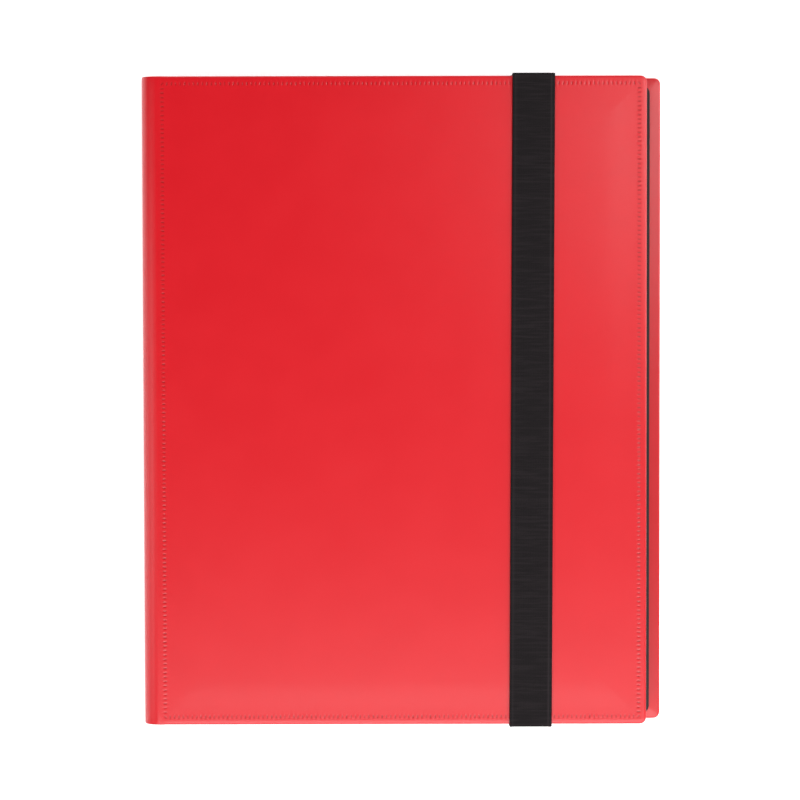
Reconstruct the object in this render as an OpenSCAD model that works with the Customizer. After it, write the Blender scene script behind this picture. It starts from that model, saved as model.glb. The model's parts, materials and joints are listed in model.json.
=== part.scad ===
// Trading card binder: padded covers over board, a round spine, bound nine-pocket leaves
// and a wide elastic strap that holds the covers shut.
//
// The closed binder lies on its back cover. +Z is up through its thickness, +Y is the head of
// the book and +X runs from the spine to the fore-edge. The origin is the middle of its footprint.

/* [Binder] */
// Height of the covers, head to tail
binder_h = 305; // [240:1:370]
// Width of the closed binder, spine to the back cover's fore-edge
binder_w = 245; // [190:1:300]
// Thickness of the closed binder without its strap
binder_t = 20; // [18:0.5:32]
// How far the front cover's fore-edge stops short of the back cover's
front_setback = 7.9; // [0:0.1:15]
// Radius of the covers' outer corners
corner_r = 3; // [1:0.5:8]

/* [Covers] */
// Thickness of the leathery skin
skin_t = 0.5; // [0.3:0.05:0.8]
// Thickness of the stiff board inside each cover
board_t = 1.4; // [1:0.1:1.9]
// Thickness of the fabric lining on the boards
lining_t = 0.5; // [0.3:0.05:0.8]
// Width of the skin that is folded over onto the inside of each cover
turn_in = 7.5; // [4:0.5:14]

/* [Spine and hinges] */
// Outer radius of the bend between the spine and each cover
fold_r = 7.5; // [6:0.1:8]
// Thickness of skin and lining together where they bend
hinge_t = 0.8; // [0.7:0.05:1]
// Glue line between the skin and the lining in the bends
glue_gap = 0.06; // [0.04:0.01:0.1]
// Half of the slit that parts the two halves of a bend, in degrees
slit_angle = 0.4; // [0.2:0.1:1]
// Width of the flexible strip between the end of a bend and the board
hinge_strip = 3; // [1:0.5:6]
// Thickness of the card that stiffens the spine
stiffener_t = 0.6; // [0.4:0.1:1]

/* [Leaves] */
// Number of bound leaves, an even number
leaf_count = 20; // [8:2:20]
// Gap between the outermost leaf and the cover's lining
stack_gap = 0.31; // [0.2:0.01:0.6]
// Distance from the covers' head and tail to the leaves
leaf_inset = 4.5; // [2:0.5:12]
// How far the leaves reach past the front cover's fore-edge
leaf_reach = 1.5; // [0:0.1:5]
// Thickness of the opaque sheet in the middle of a leaf
sheet_t = 0.2; // [0.1:0.02:0.3]
// Radius of a leaf's two free corners
leaf_corner_r = 4; // [1:0.5:10]
// Radius of the bead that a leaf turns on
bead_r = 0.25; // [0.15:0.01:0.27]
// Distance from the spine's face to the outermost bead
root_x = 6; // [5.6:0.1:9]
// How much deeper each bead sits than the one outside it
root_step = 0.62; // [0.58:0.01:0.7]

/* [Pockets] */
// Thickness of the clear film
film_t = 0.1; // [0.06:0.01:0.15]
// Empty space between the film and the sheet
pocket_gap = 0.06; // [0.02:0.01:0.1]
// Pockets in a row
pocket_cols = 3; // [1:1:4]
// Pockets in a column
pocket_rows = 3; // [1:1:4]
// Plain margin between the deepest bead and the first pocket
root_margin = 5.3; // [3:0.1:20]
// Plain margin at the fore-edge
fore_margin = 4; // [1:0.5:10]
// Plain margin at head and tail
end_margin = 3; // [1:0.5:10]
// Gap between two strips of film
strip_gap = 1; // [0.5:0.1:3]
// Width of a weld that closes a pocket
weld_w = 1.6; // [0.8:0.1:3]

/* [Binding] */
// Running clearance between a bead and the binding
bead_gap = 0.1; // [0.06:0.01:0.2]
// Thickness of the tape around the back of the binding
tape_t = 0.4; // [0.2:0.1:0.8]
// Radius of the binding thread
thread_r = 0.25; // [0.15:0.05:0.4]
// Clearance of the thread in its holes
thread_ease = 0.03; // [0.02:0.01:0.08]
// Distance from the spine's face to the thread holes
thread_x = 5.12; // [5:0.02:5.3]
// Number of thread holes, an even number
thread_holes = 24; // [4:2:40]
// Distance from the ends of the binding to the first thread hole
thread_inset = 10; // [5:1:30]

/* [Elastic strap] */
// Width of the elastic
strap_w = 20; // [8:0.5:30]
// Thickness of the elastic
strap_t = 1.2; // [0.6:0.1:1.3]
// Distance from the front cover's fore-edge to the middle of the strap
strap_inset = 53.8; // [30:0.1:110]
// Clearance between the strap and the covers
strap_gap = 0.1; // [0.05:0.05:0.3]
// Length of the strap's ends inside the back cover
tab_len = 18; // [12:1:30]

/* [Hidden] */
arc_fn = 96;
cover_t = skin_t + board_t + lining_t;
spine_x = -binder_w / 2;
back_x = binder_w / 2;
front_x = back_x - front_setback;
bend_x = spine_x + fold_r;
board_x = bend_x + hinge_strip;
half_h = binder_h / 2;
leaf_x = front_x + leaf_reach;
leaf_h = binder_h - 2 * leaf_inset;
leaf_t = sheet_t + 2 * (pocket_gap + film_t);
leaf_pitch = (binder_t - 2 * cover_t - 2 * stack_gap - leaf_t) / (leaf_count - 1);
deepest_root = spine_x + root_x + root_step * (leaf_count / 2 - 1);
strap_x = front_x - strap_inset;
tab_z = skin_t + (board_t - strap_t) / 2;
core_back = hinge_t + stiffener_t + tape_t;
core_z = root_z(1) - leaf_pitch / 2;
stitch_t = 0.25;
overcut = 1;

leaves = [for (k = [1 : leaf_count]) k];

// A leaf's node name, such as leaf_03_sheet
function leaf_name(k, piece) = str("leaf_", k < 10 ? "0" : "", k, "_", piece);
// Where leaf k turns: the beads stand in a V, deepest at the middle of the book
function root_z(k) = cover_t + stack_gap + leaf_t / 2 + leaf_pitch * (k - 1);
function root_at(k) = spine_x + root_x + root_step * min(k - 1, leaf_count - k);

// A box given by its lowest and highest corners
module block(lo, hi) {
    translate(lo) cube(hi - lo);
}

// A plate between two heights with its two fore-edge corners rounded
module plate(x0, x1, half, z0, z1, r) {
    block([x0, -half, z0], [x1 - r, half, z1]);
    block([x0, -half + r, z0], [x1, half - r, z1]);
    for (side = [-1, 1])
        translate([x1 - r, side * (half - r), z0]) cylinder(r = r, h = z1 - z0, $fn = arc_fn);
}

// A bend around an axis along Y, between two angles measured from +X towards +Z
module bend(r_out, r_in, from, to, half) {
    translate([bend_x, 0, fold_r]) rotate([90, 0, 0]) rotate([0, 0, from])
        rotate_extrude(angle = to - from, $fn = arc_fn)
            translate([r_in, -half]) square([r_out - r_in, 2 * half]);
}

// The same piece on the front cover, which mirrors the back one
module on_front() {
    translate([0, 0, binder_t]) mirror([0, 0, 1]) children();
}

// A copy at the head and a mirrored one at the tail
module both_ends() {
    children();
    mirror([0, 1, 0]) children();
}

// The skin's half bend, thicker at head and tail where it is folded in
module skin_bend(from, to) {
    bend(fold_r, fold_r - skin_t, from, to, half_h);
    both_ends() intersection() {
        bend(fold_r, fold_r - hinge_t, from, to, half_h);
        block([spine_x - overcut, half_h - turn_in, -overcut], [back_x, half_h, binder_t + overcut]);
    }
}

// The skin of a cover that ends at x_end: outside, edges, turn-ins and half of the bend
module cover_skin(x_end) {
    skin_bend(225 + slit_angle, 270);
    difference() {
        union() {
            block([bend_x, -half_h, 0], [board_x, half_h, hinge_t]);
            plate(board_x, x_end, half_h, 0, cover_t, corner_r);
        }
        plate(board_x, x_end - skin_t, half_h - skin_t, skin_t, skin_t + board_t, corner_r - skin_t);
        block([board_x - overcut, -half_h + turn_in, skin_t + board_t],
              [x_end - turn_in, half_h - turn_in, cover_t + overcut]);
        block([bend_x - overcut, -half_h + turn_in, skin_t],
              [board_x + overcut, half_h - turn_in, skin_t + board_t + overcut]);
    }
}

module board(x_end) {
    plate(board_x, x_end - skin_t, half_h - skin_t, skin_t, skin_t + board_t, corner_r - skin_t);
}

// The lining of a cover: flush inside the turn-ins, down over the board's end and into the bend
module lining(x_end) {
    half = half_h - turn_in;
    bend(fold_r - skin_t - glue_gap, fold_r - hinge_t, 225 + slit_angle, 270, half);
    block([bend_x, -half, skin_t + glue_gap], [board_x, half, hinge_t]);
    block([board_x - lining_t, -half, skin_t + glue_gap], [board_x, half, cover_t]);
    block([board_x - lining_t, -half, skin_t + board_t], [x_end - turn_in, half, cover_t]);
}

// The space that one end of the strap takes inside the back cover
module tab_space(grow) {
    block([strap_x - strap_w / 2 - grow, half_h - tab_len - grow, tab_z],
          [strap_x + strap_w / 2 + grow, half_h + overcut, tab_z + strap_t]);
}

module back_board() {
    color("#8c857b") difference() {
        board(back_x);
        both_ends() block([strap_x - strap_w / 2 - strap_gap, half_h - tab_len - strap_gap, 0],
                          [strap_x + strap_w / 2 + strap_gap, half_h + overcut, binder_t]);
    }
}

module back_skin() {
    color("#d9262d") difference() {
        cover_skin(back_x);
        both_ends() tab_space(strap_gap);
    }
}

module back_lining() {
    color("#1d1b1c") lining(back_x);
}

// One end of the strap: a tab between skin and lining that turns up around the cover's edge
module strap_end() {
    hook_y = half_h + strap_gap;
    difference() {
        union() {
            block([strap_x - strap_w / 2, half_h - tab_len, tab_z],
                  [strap_x + strap_w / 2, hook_y, tab_z + strap_t]);
            intersection() {
                translate([strap_x - strap_w / 2, hook_y, tab_z + strap_t])
                    rotate([0, 90, 0]) cylinder(r = strap_t, h = strap_w, $fn = arc_fn);
                block([strap_x - strap_w, hook_y, 0],
                      [strap_x + strap_w, hook_y + strap_t, tab_z + strap_t]);
            }
        }
        tack_row() cylinder(r = thread_r + thread_ease, h = cover_t, $fn = arc_fn);
    }
}

// The places of the tacks that hold one end of the strap
module tack_row() {
    tacks = 4;
    spacing = strap_w / tacks;
    for (row = [1, 2], i = [0 : tacks - 1])
        translate([strap_x + spacing * (i - (tacks - 1) / 2), half_h - row * tab_len / 3, 0]) children();
}

module strap_anchor_top() {
    color("#1f1c1d") strap_end();
}

module strap_anchor_bottom() {
    color("#1f1c1d") mirror([0, 1, 0]) strap_end();
}

// Tacks through the strap's ends, down to the skin, each with a flat head on the tab
module strap_tacks() {
    color("#2b2728") both_ends() tack_row() {
        translate([0, 0, skin_t]) cylinder(r = thread_r, h = board_t, $fn = arc_fn);
        translate([0, 0, tab_z + strap_t])
            cylinder(r = 3 * thread_r, h = skin_t + board_t - tab_z - strap_t, $fn = arc_fn);
    }
}

module spine_skin() {
    color("#c84a50") {
        skin_bend(180, 225 - slit_angle);
        on_front() skin_bend(180, 225 - slit_angle);
        block([spine_x, -half_h, fold_r], [spine_x + skin_t, half_h, binder_t - fold_r]);
        both_ends() block([spine_x, half_h - turn_in, fold_r],
                          [spine_x + hinge_t, half_h, binder_t - fold_r]);
    }
}

// A strip that follows the inside of the spine: flat in the middle, bent towards both covers
module spine_wrap(outer, inner, to, half) {
    bend(fold_r - outer, fold_r - inner, 180, to, half);
    on_front() bend(fold_r - outer, fold_r - inner, 180, to, half);
    block([spine_x + outer, -half, fold_r], [spine_x + inner, half, binder_t - fold_r]);
}

module spine_lining() {
    color("#1d1b1c") spine_wrap(skin_t + glue_gap, hinge_t, 225 - slit_angle, half_h - turn_in);
}

module spine_stiffener() {
    color("#8c857b")
        block([spine_x + hinge_t, -leaf_h / 2, fold_r],
              [spine_x + hinge_t + stiffener_t, leaf_h / 2, binder_t - fold_r]);
}

module binding_tape() {
    color("#262324")
        spine_wrap(hinge_t + stiffener_t, core_back - glue_gap, 225, leaf_h / 2);
}

// The welded root margins of all the leaves, in steps up to each bead
module binding_core() {
    steps = [for (k = leaves, edge = [-1, 1])
        [root_at(k) - bead_r - bead_gap, root_z(k) + edge * leaf_pitch / 2]];
    color("#2e2a2b") difference() {
        intersection() {
            rotate([90, 0, 0]) linear_extrude(height = leaf_h, center = true)
                polygon(concat([[spine_x, core_z]], steps, [[spine_x, binder_t - core_z]]));
            core_envelope();
        }
        thread_row() cylinder(r = thread_r + thread_ease, h = binder_t, $fn = arc_fn);
    }
}

// Everything inside the round back of the binding
module core_envelope() {
    r = fold_r - core_back;
    for (z = [fold_r, binder_t - fold_r])
        translate([bend_x, 0, z]) rotate([90, 0, 0])
            cylinder(r = r, h = leaf_h + 2 * overcut, center = true, $fn = arc_fn);
    block([bend_x - r, -leaf_h, fold_r], [back_x, leaf_h, binder_t - fold_r]);
    block([bend_x, -leaf_h, 0], [back_x, leaf_h, binder_t]);
}

// The places of the thread holes through the binding
module thread_row() {
    for (i = [0 : thread_holes - 1]) translate([spine_x + thread_x, thread_y(i), 0]) children();
}

function thread_y(i) =
    (leaf_h - 2 * thread_inset) * (i / (thread_holes - 1) - 1 / 2);

// Thread through each hole, and a stitch between the holes on alternate faces
module binding_stitches() {
    color("#3a3536") {
        thread_row() translate([0, 0, core_z - stitch_t / 2])
            cylinder(r = thread_r, h = binder_t - 2 * core_z + stitch_t, $fn = arc_fn);
        for (i = [0 : thread_holes - 2])
            translate([spine_x + thread_x, 0, i % 2 == 0 ? core_z - stitch_t : binder_t - core_z])
                block([-thread_r, thread_y(i) - thread_r, 0],
                      [thread_r, thread_y(i + 1) + thread_r, stitch_t]);
    }
}

module front_board() {
    color("#8c857b") on_front() board(front_x);
}

module front_skin() {
    color("#d9262d") on_front() cover_skin(front_x);
}

module front_lining() {
    color("#1d1b1c") on_front() lining(front_x);
}

// The free part of the strap: over the front cover and down both edges
module elastic_strap() {
    y = half_h + strap_gap;
    top = binder_t + strap_gap;
    foot = tab_z + strap_t + strap_gap;
    x0 = strap_x - strap_w / 2;
    x1 = strap_x + strap_w / 2;
    color("#1f1c1d") {
        block([x0, -y, top], [x1, y, top + strap_t]);
        both_ends() {
            block([x0, y, foot], [x1, y + strap_t, top]);
            intersection() {
                translate([x0, y, top]) rotate([0, 90, 0]) cylinder(r = strap_t, h = strap_w, $fn = arc_fn);
                block([x0, y, top], [x1, y + strap_t, top + strap_t]);
            }
        }
    }
}

// A leaf's opaque sheet with the bead that it turns on
module leaf_sheet(k) {
    color("#242122") {
        plate(root_at(k), leaf_x, leaf_h / 2,
              root_z(k) - sheet_t / 2, root_z(k) + sheet_t / 2, leaf_corner_r);
        translate([root_at(k), 0, root_z(k)]) rotate([90, 0, 0])
            cylinder(r = bead_r, h = leaf_h, center = true, $fn = arc_fn);
    }
}

// A leaf's strips of clear film on both faces, each with pockets that open towards the spine
module leaf_pockets(k) {
    x0 = deepest_root + root_margin;
    strip = (leaf_x - fore_margin - x0 + strip_gap) / pocket_cols;
    color("#dfe6ea", 0.4) translate([0, 0, root_z(k)]) for (face = [0, 1], col = [0 : pocket_cols - 1])
        mirror([0, 0, face]) translate([x0 + col * strip, 0, sheet_t / 2]) film_strip(strip - strip_gap);
}

// One strip of film with its pockets hollowed out against the sheet
module film_strip(w) {
    half = leaf_h / 2 - end_margin;
    pocket_h = (2 * half - weld_w) / pocket_rows;
    difference() {
        block([0, -half, 0], [w, half, pocket_gap + film_t]);
        for (row = [0 : pocket_rows - 1])
            translate([0, -half + weld_w + row * pocket_h, 0])
                block([-overcut, 0, -overcut], [w - weld_w, pocket_h - weld_w, pocket_gap]);
    }
}

back_board();
back_skin();
back_lining();
strap_anchor_top();
strap_anchor_bottom();
strap_tacks();
spine_skin();
spine_lining();
spine_stiffener();
binding_core();
binding_tape();
binding_stitches();
front_board();
front_skin();
front_lining();
elastic_strap();
for (k = leaves) {
    leaf_sheet(k);
    leaf_pockets(k);
}
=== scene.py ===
import json
import logging
import math
from dataclasses import dataclass
from enum import Enum
from typing import Callable, Sequence

import bmesh
import bpy
import numpy as np
from mathutils import Matrix, Vector


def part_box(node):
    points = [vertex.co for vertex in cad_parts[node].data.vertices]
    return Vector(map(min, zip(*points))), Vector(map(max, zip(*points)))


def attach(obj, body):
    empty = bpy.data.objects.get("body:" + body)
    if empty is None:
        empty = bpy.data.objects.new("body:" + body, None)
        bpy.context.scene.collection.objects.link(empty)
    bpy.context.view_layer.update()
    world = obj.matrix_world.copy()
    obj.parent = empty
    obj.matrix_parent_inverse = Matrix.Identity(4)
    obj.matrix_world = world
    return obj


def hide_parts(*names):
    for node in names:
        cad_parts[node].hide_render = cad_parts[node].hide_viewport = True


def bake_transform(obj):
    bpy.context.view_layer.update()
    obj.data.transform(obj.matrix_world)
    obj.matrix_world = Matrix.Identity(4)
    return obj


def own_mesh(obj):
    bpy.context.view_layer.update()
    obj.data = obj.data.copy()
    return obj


LOG = logging.getLogger("binder")
MM = 0.001
DOUBLE_GAP = 0.002 * MM
Socket, Piece = bpy.types.NodeSocket, bpy.types.Object

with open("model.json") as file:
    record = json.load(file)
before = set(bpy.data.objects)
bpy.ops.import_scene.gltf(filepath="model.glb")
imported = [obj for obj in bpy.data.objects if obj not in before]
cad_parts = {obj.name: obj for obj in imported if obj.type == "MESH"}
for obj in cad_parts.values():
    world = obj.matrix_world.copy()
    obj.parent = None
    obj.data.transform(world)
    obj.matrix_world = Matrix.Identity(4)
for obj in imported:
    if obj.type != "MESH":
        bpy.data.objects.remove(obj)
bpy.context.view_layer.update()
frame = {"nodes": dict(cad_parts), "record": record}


# ---------------------------------------------------------------- node graphs


def operator(operation: str, reflected: bool = False) -> Callable[["Value", "Value | float"], "Value"]:
    """Makes one arithmetic operator of Value.

    Args:
        operation: the Math node's operation.
        reflected: whether the other operand comes first.

    Returns:
        The operator's method.
    """
    def apply(value: "Value", other: "Value | float") -> "Value":
        """Adds the Math node."""
        pair = (other, value) if reflected else (value, other)
        return value.graph.value("ShaderNodeMath", {"operation": operation}, dict(enumerate(pair)))

    return apply


@dataclass(frozen=True)
class Value:
    """A number that changes over a surface; arithmetic on it adds Math nodes."""

    graph: "Graph"
    socket: Socket

    __add__, __radd__ = operator("ADD"), operator("ADD", True)
    __sub__, __rsub__ = operator("SUBTRACT"), operator("SUBTRACT", True)
    __mul__, __rmul__ = operator("MULTIPLY"), operator("MULTIPLY", True)
    __truediv__, __rtruediv__ = operator("DIVIDE"), operator("DIVIDE", True)
    __pow__ = operator("POWER")

    def math(self, operation: str, *others: "Value | float") -> "Value":
        """Adds one Math node.

        Args:
            operation: the Math node's operation.
            others: the operands after this one.

        Returns:
            The node's result.
        """
        return self.graph.value("ShaderNodeMath", {"operation": operation},
                                dict(enumerate((self, *others))))

    def __neg__(self) -> "Value":
        """-self."""
        return self.math("MULTIPLY", -1.0)

    def clamped(self) -> "Value":
        """self held between 0 and 1."""
        return self.math("MAXIMUM", 0.0).math("MINIMUM", 1.0)

    def smooth(self, low: float, high: float) -> "Value":
        """A smooth step of self.

        Args:
            low: where the step is 0.
            high: where the step is 1.

        Returns:
            The step, from 0 to 1.
        """
        inputs = {"Value": self, "From Min": low, "From Max": high, "To Min": 0.0, "To Max": 1.0}
        return self.graph.value("ShaderNodeMapRange", {"interpolation_type": "SMOOTHSTEP"}, inputs)


class Graph:
    """Adds nodes to a shader tree or a geometry tree."""

    def __init__(self, tree: bpy.types.NodeTree) -> None:
        """Keeps the tree that nodes are added to."""
        self.tree = tree

    def feed(self, node: bpy.types.Node, key: int | str, given: object) -> None:
        """Puts a value, a socket or a constant into one input of a node."""
        source = given.socket if isinstance(given, Value) else given
        if isinstance(source, Socket):
            self.tree.links.new(source, node.inputs[key])
        else:
            node.inputs[key].default_value = source

    def node(self, kind: str, settings: dict | None = None,
             inputs: dict | None = None) -> bpy.types.Node:
        """Adds one node.

        Args:
            kind: the node's type.
            settings: properties to set before its sockets.
            inputs: what goes into its sockets, by name or number.

        Returns:
            The new node.
        """
        new = self.tree.nodes.new(kind)
        for key, setting in (settings or {}).items():
            setattr(new, key, setting)
        for key, given in (inputs or {}).items():
            self.feed(new, key, given)
        return new

    def out(self, kind: str, settings: dict | None = None, inputs: dict | None = None,
            output: int | str = 0) -> Socket:
        """Adds one node and returns one of its outputs, by name or number."""
        return self.node(kind, settings, inputs).outputs[output]

    def value(self, kind: str, settings: dict | None = None, inputs: dict | None = None,
              output: int | str = 0) -> Value:
        """Adds one node and returns one of its outputs as a Value."""
        return Value(self, self.out(kind, settings, inputs, output))

    def parts(self, vector: Socket | Value) -> tuple[Value, Value, Value]:
        """The three parts of a vector."""
        split = self.node("ShaderNodeSeparateXYZ", None, {0: vector})
        return tuple(Value(self, socket) for socket in split.outputs)

    def vector(self, x: Value | float, y: Value | float, z: Value | float) -> Socket:
        """A vector from three numbers."""
        return self.out("ShaderNodeCombineXYZ", None, {0: x, 1: y, 2: z})


# ------------------------------------------------------------------- finishes


@dataclass(frozen=True)
class Finish:
    """What every finish has: a name, a colour and a roughness."""

    name: str
    colour: tuple[float, float, float]
    roughness: float

    def material(self) -> bpy.types.Material:
        """The finish as a material, built once."""
        made = bpy.data.materials.get(f"finish_{self.name}")
        if made is None:
            made = bpy.data.materials.new(f"finish_{self.name}")
            made.use_nodes = True
            made.node_tree.nodes.clear()
            graph = Graph(made.node_tree)
            shader = graph.node("ShaderNodeBsdfPrincipled", None,
                                {"Base Color": (*self.colour, 1.0), "Roughness": self.roughness})
            self.shade(graph, shader)
            graph.node("ShaderNodeOutputMaterial", None, {"Surface": shader.outputs[0]})
            made.diffuse_color = (*self.colour, 1.0)
        return made

    def shade(self, graph: Graph, shader: bpy.types.Node) -> None:
        """Adds what changes over the surface. Each finish has its own."""

    @staticmethod
    def place(graph: Graph) -> Socket:
        """Object coordinates in millimetres."""
        coordinates = graph.out("ShaderNodeTexCoord", output="Object")
        return graph.out("ShaderNodeVectorMath", {"operation": "SCALE"},
                         {0: coordinates, "Scale": 1 / MM})

    @staticmethod
    def noise(graph: Graph, where: Socket, scale: float, detail: float = 2.0) -> Value:
        """Noise whose grains are about 1 / scale millimetres."""
        return graph.value("ShaderNodeTexNoise", None,
                           {"Vector": where, "Scale": scale, "Detail": detail})

    @staticmethod
    def stored(graph: Graph, name: str) -> Value:
        """A number that the mesh carries."""
        return graph.value("ShaderNodeAttribute", {"attribute_name": name}, None, "Fac")

    @staticmethod
    def wave(along: Value, length: float) -> Value:
        """A wave from 0 to 1, length millimetres long."""
        return (along * (2 * math.pi / length)).math("SINE") * 0.5 + 0.5

    def shades(self, graph: Graph, factor: Value, low: float, high: float) -> Socket:
        """The finish's colour between two shades of itself, by a factor."""
        pair = [(*(part * shade for part in self.colour), 1.0) for shade in (low, high)]
        return graph.out("ShaderNodeMix", {"data_type": "RGBA"}, {0: factor, 6: pair[0], 7: pair[1]}, 2)

    def tone(self, graph: Graph, shader: bpy.types.Node, factor: Value,
             low: float, high: float) -> None:
        """Lets the base colour go between two shades of itself, by a factor."""
        graph.feed(shader, "Base Color", self.shades(graph, factor, low, high))

    @staticmethod
    def emboss(graph: Graph, shader: bpy.types.Node, height: Value,
               depth: float, strength: float) -> None:
        """Bumps the surface by a height from 0 to 1 that is depth millimetres deep."""
        graph.feed(shader, "Normal", graph.out("ShaderNodeBump", None, {
            "Strength": strength, "Distance": depth * MM, "Height": height}))


@dataclass(frozen=True)
class Leather(Finish):
    """Smooth satin coated leather: fine pores, soft waves, darker where a seam presses it, with the
    shade in the seam's grooves painted into that darker colour.
    """

    # The marks' colour: darker for the pressing, and darker still as painted shade in the grooves.
    pressed: tuple[float, float, float] = (0.3, 0.001, 0.002)
    pore: float = 1.5

    def shade(self, graph: Graph, shader: bpy.types.Node) -> None:
        """Pores, waves, small changes in gloss and the seam's darker marks, which are darker both from
        the pressing and from painted shade in their grooves.
        """
        where = self.place(graph)
        pores = graph.value("ShaderNodeTexVoronoi", {"feature": "DISTANCE_TO_EDGE"},
                            {"Vector": where, "Scale": self.pore})
        waves, fine = self.noise(graph, where, 0.05, 3.0), self.noise(graph, where, 6.0, 3.0)
        press = self.stored(graph, "press")
        plain = self.shades(graph, waves.smooth(0.35, 0.65), 0.99, 1.01)
        # Where the seam presses, the colour goes to the marks' colour, which also paints the shade in
        # their grooves.
        graph.feed(shader, "Base Color", graph.out(
            "ShaderNodeMix", {"data_type": "RGBA"},
            {0: press.clamped(), 6: plain, 7: (*self.pressed, 1.0)}, 2))
        rough = self.roughness + (waves - 0.5) * 0.04 + (fine - 0.5) * 0.03 + press * 0.05
        graph.feed(shader, "Roughness", rough)
        self.emboss(graph, shader, pores.smooth(0.0, 0.25) * 0.6 + fine * 0.4, 0.012, 0.3)


@dataclass(frozen=True)
class WovenLining(Finish):
    """Plain-woven black lining cloth."""

    thread: float = 0.45

    def shade(self, graph: Graph, shader: bpy.types.Node) -> None:
        """Two crossing sets of threads and a little lint."""
        where = self.place(graph)
        x, y, _ = graph.parts(where)
        turn = 2 * math.pi / self.thread
        weave = (x * turn).math("SINE") * (y * turn).math("SINE") * 0.5 + 0.5
        self.tone(graph, shader, weave * 0.7 + self.noise(graph, where, 0.8, 3.0) * 0.3, 0.6, 1.8)
        graph.feed(shader, "Sheen Weight", 0.25)
        self.emboss(graph, shader, weave, 0.08, 0.6)


@dataclass(frozen=True)
class Elastic(Finish):
    """Woven elastic: warp cords lengthways, weft ribs across and firm selvedges."""

    cord: float = 0.8
    weft: float = 0.5

    def shade(self, graph: Graph, shader: bpy.types.Node) -> None:
        """Lengthways cords, cross threads and faint lint."""
        where = self.place(graph)
        x, y, z = graph.parts(where)
        cords, threads = self.wave(x, self.cord), self.wave(y + z, self.weft)
        lint = self.noise(graph, where, 1.2, 4.0)
        streaks = self.noise(graph, graph.vector(x * 0.06, y * 0.9, z * 0.9), 1.0, 4.0)
        mix = (cords * 0.15 + threads * 0.15 + lint * 0.2 + streaks.smooth(0.4, 0.7) * 0.35
               + self.stored(graph, "selvedge") * 0.9)
        self.tone(graph, shader, mix, 0.5, 2.2)
        graph.feed(shader, "Roughness", self.roughness + (lint - 0.5) * 0.2)
        graph.feed(shader, "IOR", 1.25)
        self.emboss(graph, shader, cords * 0.5 + threads * 0.5, 0.06, 0.5)


@dataclass(frozen=True)
class Greyboard(Finish):
    """Pressed grey board with short fibres."""

    def shade(self, graph: Graph, shader: bpy.types.Node) -> None:
        """Specks and fibres."""
        fibres = self.noise(graph, self.place(graph), 1.4, 6.0)
        self.tone(graph, shader, fibres.smooth(0.35, 0.7), 0.8, 1.2)
        self.emboss(graph, shader, fibres, 0.05, 0.4)


@dataclass(frozen=True)
class PageSheet(Finish):
    """Black page plastic with a fine matt grain and a few handling marks."""

    def shade(self, graph: Graph, shader: bpy.types.Node) -> None:
        """Grain and slow changes in gloss."""
        where = self.place(graph)
        grain, marks = self.noise(graph, where, 4.0, 3.0), self.noise(graph, where, 0.04)
        self.tone(graph, shader, grain, 0.8, 1.3)
        graph.feed(shader, "Roughness", self.roughness + (marks - 0.5) * 0.2)
        graph.feed(shader, "IOR", 1.38)
        self.emboss(graph, shader, grain, 0.02, 0.3)


@dataclass(frozen=True)
class ClearFilm(Finish):
    """Clear glossy film, milky where it is welded."""

    clear: float = 0.07
    welded: float = 0.3

    def shade(self, graph: Graph, shader: bpy.types.Node) -> None:
        """Alpha by the weld attribute, soft ripples in the gloss."""
        weld = self.stored(graph, "weld")
        ripple = self.noise(graph, self.place(graph), 0.06)
        graph.feed(shader, "Alpha", self.clear + weld * (self.welded - self.clear))
        graph.feed(shader, "Roughness", self.roughness + weld * 0.25 + (ripple - 0.5) * 0.06)
        graph.feed(shader, "Coat Weight", 0.2)
        graph.feed(shader, "Coat Roughness", 0.08)
        self.emboss(graph, shader, ripple, 0.15, 0.15)


@dataclass(frozen=True)
class WeldedStack(Finish):
    """The welded margins of the leaves, seen as fine layers one above another."""

    layer: float = 0.74

    def shade(self, graph: Graph, shader: bpy.types.Node) -> None:
        """Layer lines by height."""
        layers = self.wave(graph.parts(self.place(graph))[2], self.layer)
        self.tone(graph, shader, layers, 0.5, 1.5)
        self.emboss(graph, shader, layers, 0.15, 0.6)


@dataclass(frozen=True)
class TwistedThread(Finish):
    """Twisted binding thread."""

    twist: float = 0.6

    def shade(self, graph: Graph, shader: bpy.types.Node) -> None:
        """Diagonal strands."""
        x, y, z = graph.parts(self.place(graph))
        strands = self.wave(x * 2.0 + y + z, self.twist)
        self.tone(graph, shader, strands, 0.6, 1.6)
        self.emboss(graph, shader, strands, 0.1, 0.7)


@dataclass(frozen=True)
class Paper(Finish):
    """The plain pale surface that the binder lies on."""

    glow: float = 0.45

    def shade(self, graph: Graph, shader: bpy.types.Node) -> None:
        """A barely visible tone, and a glow that keeps the surround white."""
        self.tone(graph, shader, self.noise(graph, self.place(graph), 0.01, 1.0), 0.995, 1.0)
        graph.feed(shader, "Specular IOR Level", 0.1)
        graph.feed(shader, "Emission Color", (1.0, 1.0, 1.0, 1.0))
        graph.feed(shader, "Emission Strength", self.glow)


class Slot(Enum):
    """The record's material slots, each with its finish."""

    COVER_LEATHER = Leather("cover_leather", (0.58, 0.003, 0.0095), 0.29)
    BOARD = Greyboard("board", (0.27, 0.24, 0.20), 0.9)
    LINING = WovenLining("lining", (0.012, 0.011, 0.011), 0.85)
    PAGE_SHEET = PageSheet("page_sheet", (0.010, 0.009, 0.0095), 0.55)
    POCKET_FILM = ClearFilm("pocket_film", (0.75, 0.78, 0.80), 0.14)
    ELASTIC = Elastic("elastic", (0.0085, 0.0064, 0.0072), 0.85)
    BINDING = WeldedStack("binding", (0.025, 0.022, 0.023), 0.5)
    THREAD = TwistedThread("thread", (0.04, 0.036, 0.037), 0.8)

    def dress(self, piece: Piece) -> None:
        """Gives a new piece this slot's finish."""
        piece.data.materials.clear()
        piece.data.materials.append(self.value.material())


# --------------------------------------------------------------- mesh helpers


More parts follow.
